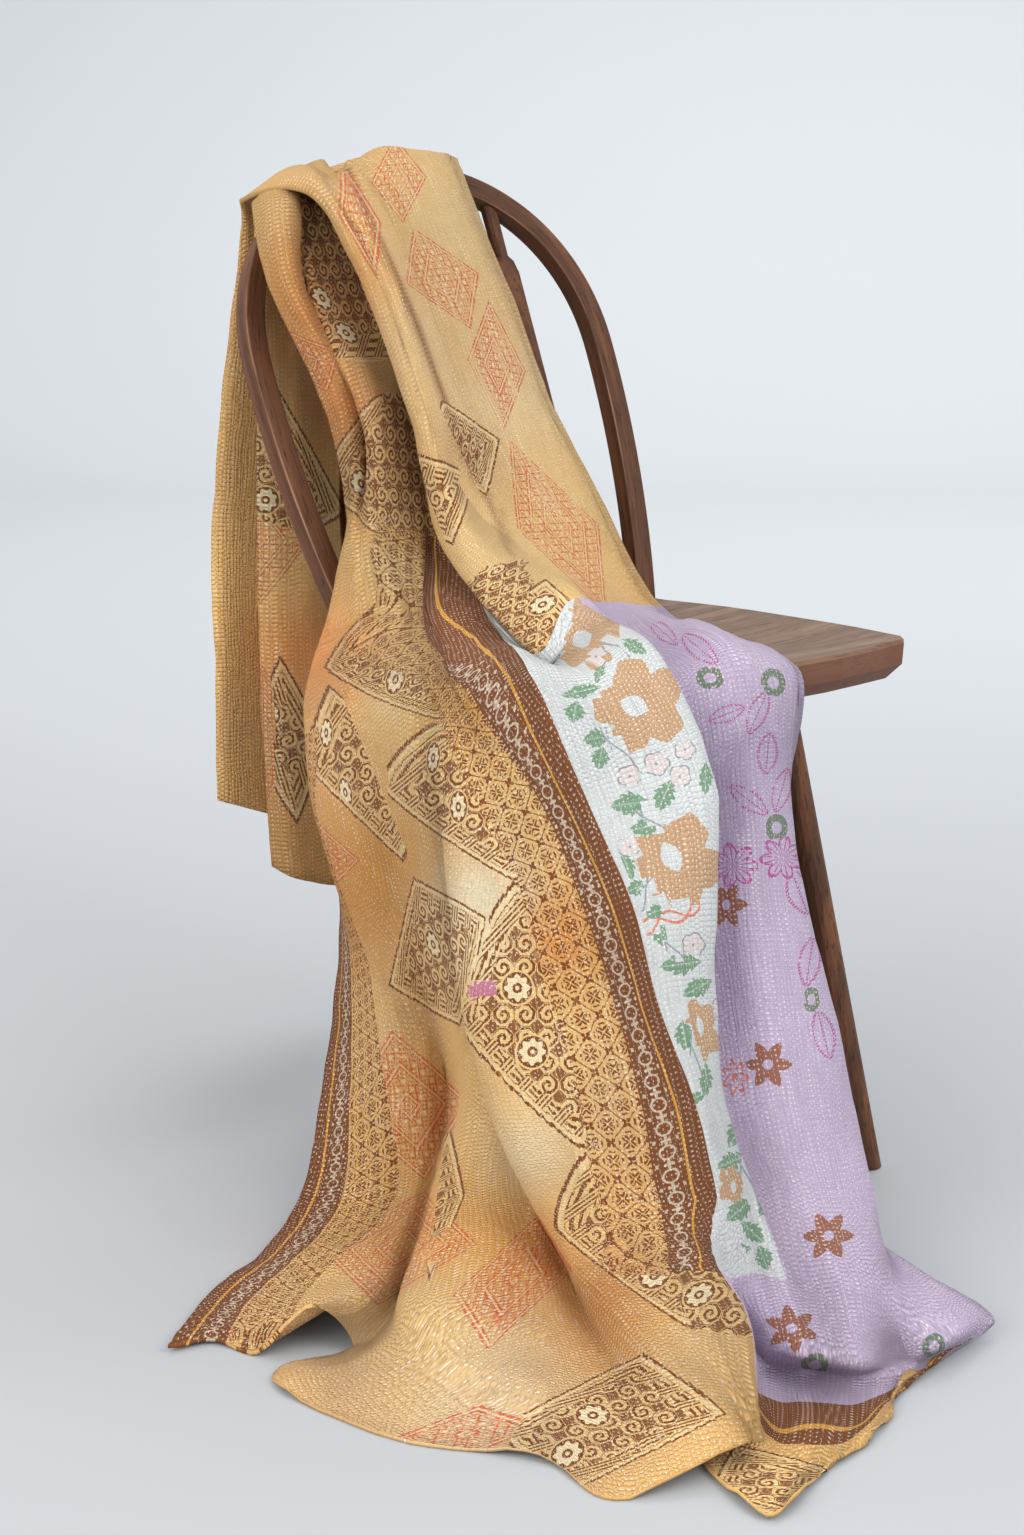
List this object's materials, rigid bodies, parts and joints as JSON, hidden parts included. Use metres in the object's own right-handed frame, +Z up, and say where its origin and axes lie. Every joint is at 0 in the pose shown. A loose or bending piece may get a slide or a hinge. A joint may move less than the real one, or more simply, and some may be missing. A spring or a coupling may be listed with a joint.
{
  "type": "kantha quilt over a chair",
  "caption": "Hand-stitched patchwork cotton quilt thrown over the bow back and seat of a wooden side chair, its lower end spread on the floor.",
  "frame": {"origin": "middle of the bounding box, on the floor", "axes": "+Z up, the chair's seat faces -Y, +X is to the sitter's left"},
  "size_m": [0.6987, 1.0474, 0.8323],
  "materials": {
    "quilt_cotton": "soft worn cotton, closely run-stitched",
    "chair_wood": "dark stained, rubbed at the edges",
    "seat_wood": "worn to bare greyish wood on top"
  },
  "bodies": {
    "root": {"quilt": "quilt_cotton", "bow": "chair_wood", "slat_1": "chair_wood", "slat_2": "chair_wood", "slat_3": "chair_wood", "slat_4": "chair_wood", "seat": "seat_wood", "leg_front_left": "chair_wood", "leg_front_right": "chair_wood", "leg_rear_left": "chair_wood", "leg_rear_right": "chair_wood"}
  },
  "joints": []
}
